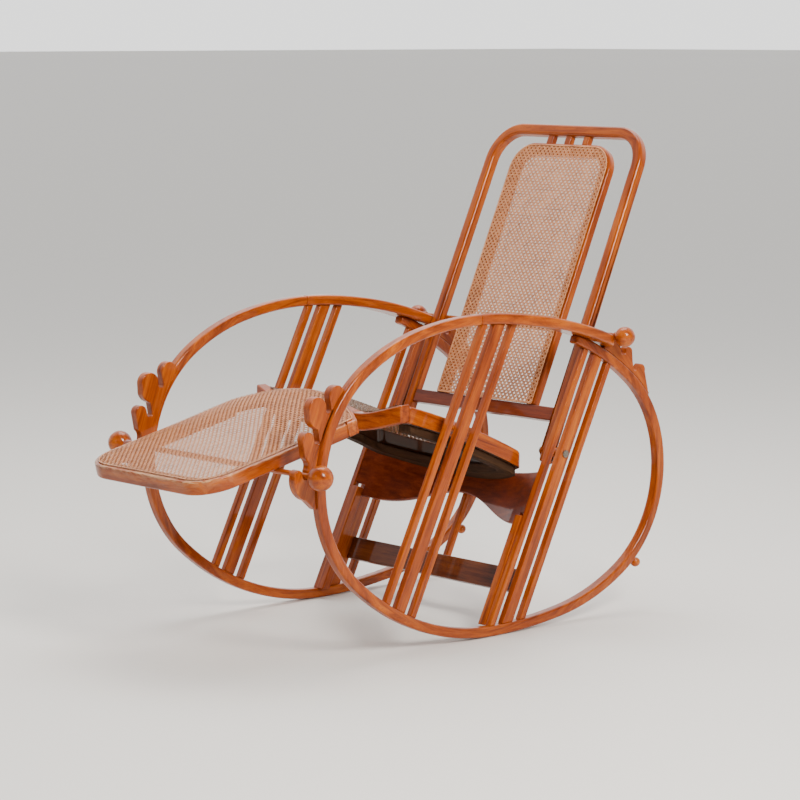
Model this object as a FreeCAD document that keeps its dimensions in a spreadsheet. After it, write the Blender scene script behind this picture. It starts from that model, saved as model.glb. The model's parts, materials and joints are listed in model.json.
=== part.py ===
import FreeCAD, Part
import math
import os

# Adjustable rocking chair in bent beech and cane. Millimetres, +Z up, the sitter faces -Y.
# Side outlines are drawn in Y and Z, measured from the line where the rings touch the floor.

Vector = FreeCAD.Vector
Rotation = FreeCAD.Rotation
Placement = FreeCAD.Placement
X_AXIS = Vector(1, 0, 0)

SIZES = {
    "origin_shift": 87.6,
    "ring_spacing": 560.0,
    "ring_width": 24.0,
    "ring_depth": 22.0,
    "arm_radius": 1000.0,
    "arm_end": 329.0,
    "arm_inboard": 32.0,
    "arm_outboard": 50.0,
    "slat_lean": 26.0,
    "slat_thickness": 15.0,
    "middle_slat": 28.0,
    "outer_slat": 15.0,
    "slat_pitch": 39.0,
    "front_slats_foot": -307.0,
    "rear_slats_foot": 27.0,
    "post_width": 20.0,
    "post_top": 240.0,
    "stretcher_height": 50.0,
    "stretcher_thickness": 18.0,
    "strut_width": 14.0,
    "strut_length": 176.0,
    "ratchet_thickness": 20.0,
    "apron_thickness": 12.0,
    "seat_half_width": 235.0,
    "seat_rail": 30.0,
    "seat_rail_height": 38.0,
    "under_frame_height": 18.0,
    "cane_thickness": 3.0,
    "back_tilt": 24.3,
    "back_height": 748.0,
    "back_half_width": 243.0,
    "back_splay": 6.0,
    "back_shift": 3.0,
    "hoop_face": 26.0,
    "hoop_depth": 24.0,
    "panel_half_width": 157.0,
    "panel_rail": 28.0,
    "panel_depth": 20.0,
    "panel_top": 702.0,
    "bottom_rail_low": 66.0,
    "bottom_rail_height": 30.0,
    "foot_half_width": 207.0,
    "foot_length": 470.0,
    "foot_rail": 28.0,
    "foot_rail_height": 29.0,
    "foot_slope": 13.4,
    "rod_radius": 6.0,
    "rod_half_length": 321.0,
    "rear_ball_radius": 22.0,
    "front_ball_radius": 25.5,
    "pivot_radius": 5.0,
    "pin_radius": 2.0,
    "knuckle_radius": 4.0,
    "hinge_leaf_width": 60.0,
}

# Each arc of a ring's centre line: radius and turn, going away from the floor contact.
REAR_ARCS = [(1210, 9.4), (509, 21.5), (257, 110.5), (644, 17.4)]
FRONT_ARCS = [(573, 42.0), (273, 104.9), (434, 18.6), (715, 14.6)]

# Height of the pivot and of the three rear notches above the floor, and their pitch.
PIVOT_HEIGHT = 366.0
FIRST_NOTCH_HEIGHT = 610.0
NOTCH_STEP = (39.0, -38.0)
NOTCH_GAP = 0.5
ROD_BACK_GAP = 2.2
RUNNING_GAP = 0.05
REST_GAP = 0.3

os.makedirs("parts", exist_ok=True)
doc = FreeCAD.newDocument("RockingChair")
sheet = doc.addObject("Spreadsheet::Sheet", "Sizes")
for row, (name, value) in enumerate(SIZES.items(), start=1):
    sheet.set(f"A{row}", name)
    sheet.set(f"B{row}", str(value))
    sheet.setAlias(f"B{row}", name)
doc.recompute()

parts = []


def size(name):
    return float(sheet.get(name))


def cell(text):
    """An expression in which each size name stands for its cell in the sheet."""
    words = text.split()
    return " ".join(f"Sizes.{word}" if word in SIZES else word for word in words)


def keep(item, label):
    """Names an object as a finished sub-part and lists it for export."""
    item.Label = label
    parts.append(item)
    return item


def place(item, x=0.0, y=0.0, z=0.0, angle=0.0):
    """Puts a sub-part in the chair: Y counts from the floor contact, angle turns about X."""
    item.Placement = Placement(Vector(x, y + size("origin_shift"), z), Rotation(X_AXIS, angle))
    item.setExpression("Placement.Base.y", cell(f"{y} + origin_shift"))
    return item


# ---------------------------------------------------------------- sketching helpers

def point(pair):
    return Vector(pair[0], pair[1], 0)


def line(start, end):
    return Part.LineSegment(point(start), point(end))


def arc(start, middle, end):
    return Part.Arc(point(start), point(middle), point(end))


def smooth(points):
    """A smooth curve through the points."""
    curve = Part.BSplineCurve()
    curve.interpolate([point(pair) for pair in points])
    return curve


def polygon(corners):
    return [line(corners[i - 1], corners[i]) for i in range(len(corners))]


def rectangle(left, low, right, high):
    return polygon([(left, low), (right, low), (right, high), (left, high)])


def mirrored(pairs):
    """The points of a half outline with X reversed, in the opposite order."""
    return [(-x, y) for x, y in reversed(pairs)]


def body_named(name):
    return doc.addObject("PartDesign::Body", name)


def sketch_on(body, plane, edges):
    sketch = body.newObject("Sketcher::SketchObject", f"{body.Name}_outline")
    origin_plane = [item for item in body.Origin.OriginFeatures if item.Role == plane][0]
    sketch.AttachmentSupport = (origin_plane, [""])
    sketch.MapMode = "FlatFace"
    for edge in edges:
        sketch.addGeometry(edge, False)
    return sketch


def pad(body, plane, edges, length):
    """Pads an outline by the same amount on both sides of its plane."""
    feature = body.newObject("PartDesign::Pad", f"{body.Name}_pad")
    feature.Profile = sketch_on(body, plane, edges)
    feature.SideType = "Symmetric"
    feature.setExpression("Length", cell(length))
    doc.recompute()
    return body


def pocket(body, plane, edges):
    """Cuts an outline right through the body, both ways."""
    before = body.Shape.Volume
    feature = body.newObject("PartDesign::Pocket", f"{body.Name}_pocket")
    feature.Profile = sketch_on(body, plane, edges)
    feature.Type = "ThroughAll"
    feature.SideType = "Symmetric"
    doc.recompute()
    if body.Shape.Volume >= before:
        raise RuntimeError(f"{body.Name}: a pocket cuts nothing")
    return body


def boolean(kind, name, base, tool):
    item = doc.addObject(f"Part::{kind}", name)
    item.Base = base
    item.Tool = tool
    doc.recompute()
    return item


def join(name, shapes):
    item = doc.addObject("Part::MultiFuse", name)
    item.Shapes = shapes
    doc.recompute()
    return item


def group(label, shapes):
    """Identical separate solids kept together as one sub-part."""
    item = doc.addObject("Part::Compound", label)
    item.Links = shapes
    doc.recompute()
    return keep(item, label)


def box(name, length, width, height):
    item = doc.addObject("Part::Box", name)
    item.setExpression("Length", cell(length))
    item.setExpression("Width", cell(width))
    item.setExpression("Height", cell(height))
    doc.recompute()
    return item


def cylinder_along_x(name, radius, start, end, y, z):
    item = doc.addObject("Part::Cylinder", name)
    item.setExpression("Radius", cell(radius))
    item.Height = end - start
    item.Placement = Placement(Vector(start, y + size("origin_shift"), z), Rotation(Vector(0, 1, 0), 90))
    doc.recompute()
    return item


# ---------------------------------------------------------------- the ring's centre line

def chain(arcs, direction):
    """Tangent arcs from the floor contact: (centre, radius, start angle, end angle)."""
    y = 0.0
    z = size("ring_depth") / 2
    heading = 0.0
    result = []
    for radius, turn in arcs:
        start = math.radians(heading)
        centre = (y - radius * math.sin(start), z + radius * math.cos(start))
        heading += turn
        end = math.radians(heading)
        result.append(((direction * centre[0], centre[1]), radius, start, end))
        y = centre[0] + radius * math.sin(end)
        z = centre[1] - radius * math.cos(end)
    return result


def on_arc(piece, angle, offset, direction):
    centre, radius, _, _ = piece
    reach = radius + offset
    return (centre[0] + direction * reach * math.sin(angle), centre[1] - reach * math.cos(angle))


def chain_edges(arcs, direction, offset):
    """The chain as sketch arcs, moved outward by offset, with its last point."""
    edges = []
    last = None
    for piece in chain(arcs, direction):
        _, _, start, end = piece
        first = on_arc(piece, start, offset, direction)
        middle = on_arc(piece, (start + end) / 2, offset, direction)
        last = on_arc(piece, end, offset, direction)
        edges.append(arc(first, middle, last))
    return edges, last


HALF_DEPTH = size("ring_depth") / 2
rear_outer, rear_outer_end = chain_edges(REAR_ARCS, 1, HALF_DEPTH)
rear_inner, rear_inner_end = chain_edges(REAR_ARCS, 1, -HALF_DEPTH)
front_outer, front_outer_end = chain_edges(FRONT_ARCS, -1, HALF_DEPTH)
front_inner, front_inner_end = chain_edges(FRONT_ARCS, -1, -HALF_DEPTH)

# The arm's top face is one arc that leaves the ring at its highest point.
APEX_Y, APEX_TOP = front_outer_end
ARM_CENTRE = (APEX_Y, APEX_TOP - size("arm_radius"))


def arm_height(y, depth):
    """Height of the arm at y, depth below its top face."""
    reach = size("arm_radius") - depth
    return ARM_CENTRE[1] + math.sqrt(reach ** 2 - (y - ARM_CENTRE[0]) ** 2)


def arm_arc(start, end, depth):
    middle = (start + end) / 2
    return arc((start, arm_height(start, depth)), (middle, arm_height(middle, depth)),
               (end, arm_height(end, depth)))


# ---------------------------------------------------------------- side frames

def make_ring(side, sign):
    ring = body_named(f"ring_{side}_bent")
    edges = rear_outer + rear_inner + front_outer + front_inner
    edges = edges + [line(rear_outer_end, rear_inner_end), line(front_outer_end, front_inner_end)]
    pad(ring, "YZ_Plane", edges, "ring_width")
    whole = place(ring, x=sign * size("ring_spacing") / 2)
    under_arm = boolean("Cut", f"ring_{side}_under_arm", whole, arm_tools[side])
    return keep(under_arm, f"ring_{side}")


def make_arm_right():
    arm = body_named("arm_right_body")
    end = size("arm_end")
    depth = size("ring_depth")
    band = [arm_arc(APEX_Y, end, 0), arm_arc(APEX_Y, end, depth)]
    band.append(line((APEX_Y, arm_height(APEX_Y, 0)), (APEX_Y, arm_height(APEX_Y, depth))))
    band.append(line((end, arm_height(end, 0)), (end, arm_height(end, depth))))
    pad(arm, "YZ_Plane", band, "2 * arm_outboard + 40")
    half = size("ring_width") / 2
    inboard = -size("arm_inboard")
    outboard = size("arm_outboard")
    corner = 36.0
    small = 12.0
    outline = [
        line((-half, APEX_Y), (half, APEX_Y)),
        smooth([(half, APEX_Y), (half + 4, APEX_Y + 60), (outboard - 6, APEX_Y + 150), (outboard, APEX_Y + 220)]),
        line((outboard, APEX_Y + 220), (outboard, end - corner)),
        arc((outboard, end - corner), (outboard - 0.29 * corner, end - 0.29 * corner), (outboard - corner, end)),
        line((outboard - corner, end), (inboard + small, end)),
        arc((inboard + small, end), (inboard + 0.29 * small, end - 0.29 * small), (inboard, end - small)),
        line((inboard, end - small), (inboard, APEX_Y + 220)),
        smooth([(inboard, APEX_Y + 220), (inboard + 4, APEX_Y + 150), (-half - 3, APEX_Y + 60), (-half, APEX_Y)]),
    ]
    border = rectangle(-150, APEX_Y - 50, 150, end + 50)
    pocket(arm, "XY_Plane", border + outline)
    return place(arm, x=size("ring_spacing") / 2)


arm_right = make_arm_right()
arm_left = doc.addObject("Part::Mirroring", "arm_left")
arm_left.Source = arm_right
arm_left.Normal = X_AXIS
arm_left.Base = Vector(0, 0, 0)
doc.recompute()
keep(arm_right, "arm_right")
keep(arm_left, "arm_left")
arm_tools = {"right": arm_right, "left": arm_left}
rings = {"right": make_ring("right", 1), "left": make_ring("left", -1)}


def make_window():
    """The space inside a side frame, as a block across the whole chair: it trims the slats."""
    window = body_named("side_frame_window")
    depth = size("ring_depth")
    turn_up = (rear_inner_end[0], arm_height(rear_inner_end[0], depth))
    edges = rear_inner + front_inner + [line(rear_inner_end, turn_up)]
    edges = edges + [arm_arc(APEX_Y, turn_up[0], depth)]
    edges = edges + [line(front_inner_end, (APEX_Y, arm_height(APEX_Y, depth)))]
    pad(window, "YZ_Plane", edges, "ring_spacing + 100")
    return place(window)


window = make_window()
LEAN = math.radians(size("slat_lean"))


def leaning_bar(name, x, foot, offset, thickness, width, low, high):
    """A bar that leans back with the slats; offset moves it square to them, foot is its Y on the floor."""
    bar = box(name, thickness, width, f"{high - low}")
    middle = Vector(-bar.Length.Value / 2, offset - bar.Width.Value / 2, low)
    turned = Placement(Vector(x, foot + size("origin_shift"), 0), Rotation(X_AXIS, -size("slat_lean")))
    bar.Placement = turned * Placement(middle, Rotation())
    doc.recompute()
    return bar


def make_slat(side, sign, end, number):
    foot = size(f"{end}_slats_foot")
    width = "middle_slat" if number == 2 else "outer_slat"
    offset = (number - 2) * size("slat_pitch")
    bar = leaning_bar(f"bar_{end}_{side}_{number}", sign * size("ring_spacing") / 2, foot, offset,
                      "slat_thickness", width, -80, 900)
    slat = boolean("Common", f"{end}_slat_{side}_{number}", bar, window)
    return keep(slat, f"{end}_slat_{side}_{number}")


for side, sign in (("left", -1), ("right", 1)):
    for end in ("front", "rear"):
        for number in (1, 2, 3):
            make_slat(side, sign, end, number)

SLAT_FACE = size("ring_spacing") / 2 - size("slat_thickness") / 2


def make_post(side, sign):
    centre = SLAT_FACE - size("post_width") / 2
    top = (size("post_top") - size("slat_pitch") * math.sin(LEAN)) / math.cos(LEAN)
    bar = leaning_bar(f"post_bar_{side}", sign * centre, size("rear_slats_foot"), -size("slat_pitch"),
                      "post_width", "post_width", -80, top)
    post = boolean("Common", f"post_{side}", bar, window)
    return keep(post, f"post_{side}")


make_post("left", -1)
make_post("right", 1)


# ---------------------------------------------------------------- ratchet plates

def plate(name, edges, sign, inboard, ring):
    blank = body_named(f"{name}_blank")
    pad(blank, "YZ_Plane", edges, "ratchet_thickness")
    place(blank, x=sign * (size("ring_spacing") / 2 - inboard))
    return boolean("Cut", f"{name}_on_ring", blank, ring)


PIVOT_Y = size("rear_slats_foot") + PIVOT_HEIGHT * math.tan(LEAN)
TILT = math.radians(size("back_tilt"))
ROD = size("rod_radius")
ROD_OFFSET = size("back_shift") + size("hoop_depth") / 2 + ROD + ROD_BACK_GAP
ROD_REACH = (FIRST_NOTCH_HEIGHT - PIVOT_HEIGHT + ROD_OFFSET * math.sin(TILT)) / math.cos(TILT)
FIRST_NOTCH = (PIVOT_Y + ROD_REACH * math.sin(TILT) + ROD_OFFSET * math.cos(TILT), FIRST_NOTCH_HEIGHT)
SLOT = ROD + NOTCH_GAP


def notch(centre, start, end):
    """A rod pocket round centre, between two directions given in degrees, passing underneath."""
    def at(degrees):
        angle = math.radians(degrees)
        return (centre[0] + SLOT * math.cos(angle), centre[1] + SLOT * math.sin(angle))
    return at(start), at((start + end) / 2), at(end)


def path(*steps):
    """Joins steps end to end: a point is reached by a line, a (middle, end) pair by an arc."""
    edges = []
    here = steps[0]
    for step in steps[1:]:
        if isinstance(step[0], tuple):
            edges.append(arc(here, step[0], step[1]))
            here = step[1]
        else:
            edges.append(line(here, step))
            here = step
    return edges


def rear_ratchet_edges():
    n1 = FIRST_NOTCH
    n2 = (n1[0] + NOTCH_STEP[0], n1[1] + NOTCH_STEP[1])
    n3 = (n2[0] + NOTCH_STEP[0], n2[1] + NOTCH_STEP[1])
    a1, b1, c1 = notch(n1, 200, 316)
    a2, b2, c2 = notch(n2, 180, 360)
    a3, b3, c3 = notch(n3, 180, 319)
    ring_piece = chain(REAR_ARCS, 1)[2]
    inner = [on_arc(ring_piece, math.radians(angle), 0, 1) for angle in (118, 128, 139)]
    upper_piece = chain(REAR_ARCS, 1)[3]
    upper = [on_arc(upper_piece, math.radians(angle), 0, 1) for angle in (142, 147, 151)]
    return path(
        inner[0], (inner[1], inner[2]), upper[0], (upper[1], upper[2]),
        (n1[0] - 13, n1[1] - 14), (n1[0] - 10, n1[1] - 3), a1, (b1, c1),
        (n1[0] + 14, n1[1] - 0.5), ((n1[0] + 26, n1[1] - 0.5), (n1[0] + 31, n1[1] - 11)),
        (n2[0] - 9, n2[1] + 12), a2, (b2, c2),
        (n2[0] + 8, n2[1] + 5), ((n2[0] + 19, n2[1] + 9), (n2[0] + 28, n2[1])),
        (n3[0] - 9, n3[1] + 14), a3, (b3, c3),
        (n3[0] + 15, n3[1] + 7), ((n3[0] + 25, n3[1] + 4), (n3[0] + 29, n3[1] - 10)),
        ((n3[0] + 38, n3[1] - 45), inner[0]),
    )


FRONT_NOTCHES = [(-449.0, 517.0), (-480.0, 458.0), (-511.0, 392.6)]


def front_ratchet_edges():
    n1, n2, n3 = FRONT_NOTCHES
    a1, b1, c1 = notch(n1, 360, 180)
    a2, b2, c2 = notch(n2, 360, 180)
    a3, b3, c3 = notch(n3, 360, 180)
    ring_piece = chain(FRONT_ARCS, -1)[1]
    inner = [on_arc(ring_piece, math.radians(angle), 0, -1) for angle in (133, 108, 84)]
    return path(
        inner[0], (n1[0] + 30, n1[1] + 46), ((n1[0] + 8, n1[1] + 42), (n1[0] + 2, n1[1] + 22)), a1, (b1, c1),
        (n1[0] - 7, n1[1] + 9), ((n1[0] - 30, n1[1] + 28), (n1[0] - 51, n1[1] + 4)),
        (n1[0] - 50, n1[1] - 16), ((n1[0] - 42, n1[1] - 29), (n1[0] - 29, n1[1] - 36)), a2, (b2, c2),
        (n2[0] - 8, n2[1] + 7), ((n2[0] - 24, n2[1] + 19), (n2[0] - 37, n2[1] + 4)),
        (n2[0] - 30, n2[1] - 33), ((n2[0] - 22, n2[1] - 46), (n3[0] + 6.5, n3[1] + 8)), a3, (b3, c3),
        (n3[0] - 8, n3[1] + 7), ((n3[0] - 19, n3[1] + 12), (n3[0] - 27, n3[1])),
        ((n3[0] - 21, n3[1] - 33), (n3[0] + 4, n3[1] - 52)), (n3[0] + 26, n3[1] - 72), inner[2], (inner[1], inner[0]),
    )


for side, sign in (("left", -1), ("right", 1)):
    on_ring = plate(f"front_ratchet_{side}", front_ratchet_edges(), sign, 6, rings[side])
    keep(on_ring, f"front_ratchet_{side}")
    on_ring = plate(f"rear_ratchet_{side}", rear_ratchet_edges(), sign, 0, rings[side])
    clear_of_arm = boolean("Cut", f"rear_ratchet_{side}_trimmed", on_ring, arm_tools[side])
    keep(clear_of_arm, f"rear_ratchet_{side}")


def make_stopper(side, sign):
    """A turned knob on a short neck, square to the ring's rear lower rim."""
    piece = chain(REAR_ARCS, 1)[2]
    angle = math.radians(42)
    foot = on_arc(piece, angle, HALF_DEPTH, 1)
    spot = Vector(sign * size("ring_spacing") / 2, foot[0] + size("origin_shift"), foot[1])
    outward = Vector(0, math.sin(angle), -math.cos(angle))
    neck = doc.addObject("Part::Cylinder", f"stopper_neck_{side}")
    neck.Radius = 6
    neck.Height = 12
    neck.Placement = Placement(spot - outward * 3, Rotation(Vector(0, 0, 1), outward))
    knob = doc.addObject("Part::Sphere", f"stopper_knob_{side}")
    knob.Radius = 11
    knob.Placement = Placement(spot + outward * 15, Rotation())
    peg = join(f"stopper_whole_{side}", [neck, knob])
    trimmed = boolean("Cut", f"stopper_peg_{side}", peg, rings[side])
    return keep(trimmed, f"stopper_peg_{side}")


make_stopper("left", -1)
make_stopper("right", 1)

# ---------------------------------------------------------------- between the side frames

STRETCHER_OFFSET = 13.0
STRETCHER_LOW = 93.0
stretcher = box("lower_stretcher", "ring_spacing - slat_thickness", "stretcher_thickness", "stretcher_height")
turned = Placement(Vector(0, size("rear_slats_foot") + size("origin_shift"), 0), Rotation(X_AXIS, -size("slat_lean")))
corner = Vector(-SLAT_FACE, STRETCHER_OFFSET - size("stretcher_thickness") / 2, STRETCHER_LOW)
stretcher.Placement = turned * Placement(corner, Rotation())
keep(stretcher, "lower_stretcher")

STRUT_LEAN = 25.0
strut = box("strut_bar", "strut_width", "strut_width", "strut_length")
STRUT_FOOT = (110.0, 92.0)
foot = Placement(Vector(0, STRUT_FOOT[0] + size("origin_shift"), STRUT_FOOT[1]), Rotation(X_AXIS, -STRUT_LEAN))
strut.Placement = foot * Placement(Vector(-size("strut_width") / 2, 0, 0), Rotation())


def make_apron():
    """A board bowed backward in plan, with two deep ears and an arched lower edge between them."""
    apron = body_named("seat_apron_body")
    ear = SLAT_FACE - size("post_width") - 0.5
    low = [(235, -60), (190, -56), (117, -33), (60, -11)]
    outline = path((235, -60), (ear, -62), (ear, -36), (SLAT_FACE, -36), (SLAT_FACE, 56), (-SLAT_FACE, 56),
                   (-SLAT_FACE, -36), (-ear, -36), (-ear, -62), (-235, -60))
    outline.append(smooth(low + [(0, -2)] + mirrored(low)))
    pad(apron, "XZ_Plane", outline, "300")
    thick = size("apron_thickness")
    bow = 65.0
    band = path((-SLAT_FACE, -thick / 2), ((0, bow - thick / 2), (SLAT_FACE, -thick / 2)), (SLAT_FACE, thick / 2),
                ((0, bow + thick / 2), (-SLAT_FACE, thick / 2)), (-SLAT_FACE, -thick / 2))
    pocket(apron, "XY_Plane", rectangle(-400, -200, 400, 200) + band)
    height = 280.0
    slat_line = size("rear_slats_foot") + height * math.tan(LEAN) - size("slat_pitch") / math.cos(LEAN)
    return place(apron, y=slat_line, z=height, angle=-size("slat_lean"))


apron_board = make_apron()

# ---------------------------------------------------------------- seat

SEAT_TOP = [(-250, 513), (-30, 442), (205, 331)]
SEAT_FRONT = -190.0


def seat_circle():
    curve = arc(*SEAT_TOP).toShape().Curve
    return curve.Center, curve.Radius


SEAT_CENTRE, SEAT_RADIUS = seat_circle()


def seat_height(y):
    return SEAT_CENTRE.y + math.sqrt(SEAT_RADIUS ** 2 - (y - SEAT_CENTRE.x) ** 2)


def seat_outline(inset, front):
    """Half plan of the seat: straight side, rounded rear corner and bowed rear."""
    half = size("seat_half_width") - inset
    rear = 125.0 - inset / 2
    bow = 195.0 - inset
    corner = 14.0
    return path((-half, front), (half, front), (half, rear - corner),
                ((half - 0.2 * corner, rear - 0.1 * corner), (half - corner, rear + 0.5 * corner)),
                ((0, bow), (corner - half, rear + 0.5 * corner)),
                ((0.2 * corner - half, rear - 0.1 * corner), (-half, rear - corner)), (-half, front))


def seat_layer(label, high_drop, low_drop, outer, inner, front):
    """A U of rail under the seat's top line: two depths below it and two insets in plan."""
    layer = body_named(label)
    high = [(y, z - high_drop) for y, z in SEAT_TOP]
    low = [(y, z - low_drop) for y, z in SEAT_TOP]
    band = [arc(*high), arc(*low), line(high[0], low[0]), line(high[2], low[2])]
    pad(layer, "YZ_Plane", band, "2 * seat_half_width + 20")
    pocket(layer, "XY_Plane", rectangle(-400, -400, 400, 400) + seat_outline(outer, front))
    pocket(layer, "XY_Plane", seat_outline(inner, front - 30))
    return keep(place(layer), label)


# The front rail rises at its ends and in the middle and dips under each thigh.
FRONT_TOP = [(-235, 0), (-170, -18), (-105, -26), (-50, -10), (0, 6), (50, -10), (105, -26), (170, -18), (235, 0)]
FRONT_RAIL_HEIGHT = 502.0


def make_front_rail():
    rail = body_named("seat_front_rail_body")
    low = [(x, z - size("seat_rail_height") - 0.05 * z) for x, z in FRONT_TOP]
    edges = [smooth(FRONT_TOP), smooth(low), line(FRONT_TOP[0], low[0]), line(FRONT_TOP[-1], low[-1])]
    pad(rail, "XZ_Plane", edges, "600")
    half = size("seat_half_width")
    inner = half - size("seat_rail")
    band = path((-half, SEAT_FRONT - 26), ((0, SEAT_FRONT - 51), (half, SEAT_FRONT - 26)), (half, SEAT_FRONT),
                (inner, SEAT_FRONT), ((0, SEAT_FRONT - 21), (-inner, SEAT_FRONT)), (-half, SEAT_FRONT),
                (-half, SEAT_FRONT - 26))
    pocket(rail, "XY_Plane", rectangle(-500, -500, 500, 500) + band)
    return place(rail, z=FRONT_RAIL_HEIGHT)


def cane_section(y, share, drop, half):
    """A thin closed strip across the seat, following the front rail's waves by the given share."""
    thick = size("cane_thickness")
    height = seat_height(y) - drop
    top = [Vector(x * half / 235.0, y, height + share * z) for x, z in FRONT_TOP]
    low = [Vector(pt.x, pt.y, pt.z - thick) for pt in top]
    upper = Part.BSplineCurve()
    upper.interpolate(top)
    lower = Part.BSplineCurve()
    lower.interpolate(low)
    ends = [Part.LineSegment(top[0], low[0]), Part.LineSegment(top[-1], low[-1])]
    return Part.Wire(Part.__sortEdges__([upper.toShape(), ends[1].toShape(), lower.toShape(), ends[0].toShape()]))


def make_seat_cane():
    inset = size("seat_rail")
    half = size("seat_half_width") - inset
    stations = [(-212, 1.0), (-140, 0.8), (-60, 0.4), (30, 0.1), (170, 0.0)]
    sections = [cane_section(y, share, 2.0, half) for y, share in stations]
    sheet_shape = Part.makeLoft(sections, True, False)
    opening = Part.Wire(Part.__sortEdges__([edge.toShape() for edge in seat_outline(inset, -212)]))
    block = Part.Face(opening).extrude(Vector(0, 0, 600))
    cane = doc.addObject("Part::Feature", "seat_cane_sheet")
    cane.Shape = sheet_shape.common(block)
    place(cane)
    return cane


RAIL_HEIGHT = size("seat_rail_height")
seat_frame = seat_layer("seat_frame", 0, RAIL_HEIGHT, 0, size("seat_rail"), SEAT_FRONT)
under_frame = seat_layer("seat_under_frame", RAIL_HEIGHT, RAIL_HEIGHT + size("under_frame_height"),
                         9, 46, SEAT_FRONT + 8)
apron_cut = boolean("Cut", "apron_below_seat", apron_board, seat_frame)
apron = keep(boolean("Cut", "seat_apron", apron_cut, under_frame), "seat_apron")
strut_cut = boolean("Cut", "centre_strut_clear", strut, apron)
keep(boolean("Cut", "centre_strut", strut_cut, stretcher), "centre_strut")
front_rail = make_front_rail()
doc.recompute()
seat_cane_sheet = make_seat_cane()
seat_cane = boolean("Cut", "seat_cane", seat_cane_sheet, front_rail)
keep(seat_cane, "seat_cane")

# ---------------------------------------------------------------- footrest hinge, between the two rails

HINGE = (-245.0, 508.0)
FOOT_ORIGIN = (-245.0, 492.4)
LEAF_LOW = 480.0
LEAF = 1.5


def knuckles(name, start, radius):
    spans = [(-30.0, -18.0), (-6.0, 6.0), (18.0, 30.0)] if start == "outer" else [(-18.0, -6.0), (6.0, 18.0)]
    pieces = []
    for number, (low, high) in enumerate(spans):
        pieces.append(cylinder_along_x(f"{name}_{number}", radius, low + 0.15, high - 0.15, *HINGE))
    return pieces, spans


def hinge_half(name, start, plate_box, neck_size, neck_spot, angle):
    """A hinge leaf with its knuckles, bored for the pin; neck_spot is in the leaf's own frame."""
    pieces, spans = knuckles(f"{name}_knuckle", start, "knuckle_radius")
    for number, (low, high) in enumerate(spans):
        neck = box(f"{name}_neck_{number}", f"{high - low - 0.3}", f"{neck_size[0]}", f"{neck_size[1]}")
        spot = Placement(Vector(0, HINGE[0] + size("origin_shift"), HINGE[1]), Rotation(X_AXIS, angle))
        neck.Placement = spot * Placement(Vector(low + 0.15, *neck_spot), Rotation())
        pieces.append(neck)
    whole = join(f"{name}_whole", [plate_box] + pieces)
    bore = cylinder_along_x(f"{name}_bore", f"pin_radius + {RUNNING_GAP}", -31, 31, *HINGE)
    return boolean("Cut", name, whole, bore)


seat_plate = box("seat_leaf_plate", "hinge_leaf_width", f"{LEAF}", "22")
seat_plate.Placement = Placement(Vector(-30, HINGE[0] + 4.3 + size("origin_shift"), LEAF_LOW), Rotation())
seat_leaf = hinge_half("seat_hinge_leaf", "inner", seat_plate, (5.0, 7.0), (-0.5, -7.0), 0.0)
keep(seat_leaf, "seat_hinge_leaf")
keep(boolean("Cut", "seat_front_rail", front_rail, seat_leaf), "seat_front_rail")

foot_plate = box("foot_leaf_plate", "hinge_leaf_width", f"{LEAF}", "14")
hinge_frame = Placement(Vector(0, HINGE[0] + size("origin_shift"), HINGE[1]), Rotation(X_AXIS, size("foot_slope")))
foot_plate.Placement = hinge_frame * Placement(Vector(-30, -8.6, -18.0), Rotation())
foot_leaf = hinge_half("footrest_hinge_leaf", "outer", foot_plate, (8.6, 3.0), (-8.6, -4.5), size("foot_slope"))
keep(foot_leaf, "footrest_hinge_leaf")
pin = cylinder_along_x("footrest_hinge_pin", "pin_radius", -30.5, 30.5, *HINGE)
keep(pin, "footrest_hinge_pin")

# ---------------------------------------------------------------- footrest

FOOT_REAR = -67.0
FOOT_BOW = 63.0
FOOT_CROWN = 26.0


def foot_outline(inset, rear):
    """Plan of the footrest moved inward by inset, with rounded front corners, straight across at rear."""
    half = size("foot_half_width") - inset
    front = -size("foot_length") + inset
    corner = 74.0 - inset
    cut = 0.293 * corner
    return path((half, rear), (half, front + corner), ((half - cut, front + cut), (half - corner, front)),
                (corner - half, front), ((cut - half, front + cut), (-half, front + corner)), (-half, rear),
                (half, rear))


def foot_place(item):
    item.Placement = Placement(Vector(0, FOOT_ORIGIN[0] + size("origin_shift"), FOOT_ORIGIN[1]),
                               Rotation(X_AXIS, size("foot_slope")))
    doc.recompute()
    return item


def rear_rail_face(shift):
    half = size("foot_half_width")
    return [(-half, FOOT_REAR + shift), (0, FOOT_REAR + FOOT_BOW + shift), (half, FOOT_REAR + shift)]


def make_footrest_frame():
    frame = body_named("footrest_frame_body")
    half_height = size("foot_rail_height") / 2
    pad(frame, "XY_Plane", foot_outline(0, 0), "foot_rail_height")
    pocket(frame, "XY_Plane", foot_outline(size("foot_rail"), 50))
    rear = rear_rail_face(-28.0)
    trim = path(rear[0], (rear[1], rear[2]), (300, rear[2][1]), (300, 100), (-300, 100), (-300, rear[0][1]), rear[0])
    pocket(frame, "XY_Plane", trim)
    foot_place(frame)
    frame.Placement = frame.Placement * Placement(Vector(0, 0, -half_height), Rotation())
    return keep(frame, "footrest_frame")


def make_footrest_rear_rail():
    """The arched rail: it bows back in plan and rises in the middle."""
    rail = body_named("footrest_rear_rail_body")
    half = size("foot_half_width")
    drop = size("foot_rail_height")
    arch = path((-half, 0), ((0, FOOT_CROWN), (half, 0)), (half, -drop), ((0, FOOT_CROWN - drop), (-half, -drop)),
                (-half, 0))
    pad(rail, "XZ_Plane", arch, "400")
    rear = rear_rail_face(0.0)
    front = rear_rail_face(-28.0)
    band = path(rear[0], (rear[1], rear[2]), front[2], (front[1], front[0]), rear[0])
    pocket(rail, "XY_Plane", rectangle(-400, -400, 400, 400) + band)
    return foot_place(rail)


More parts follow.
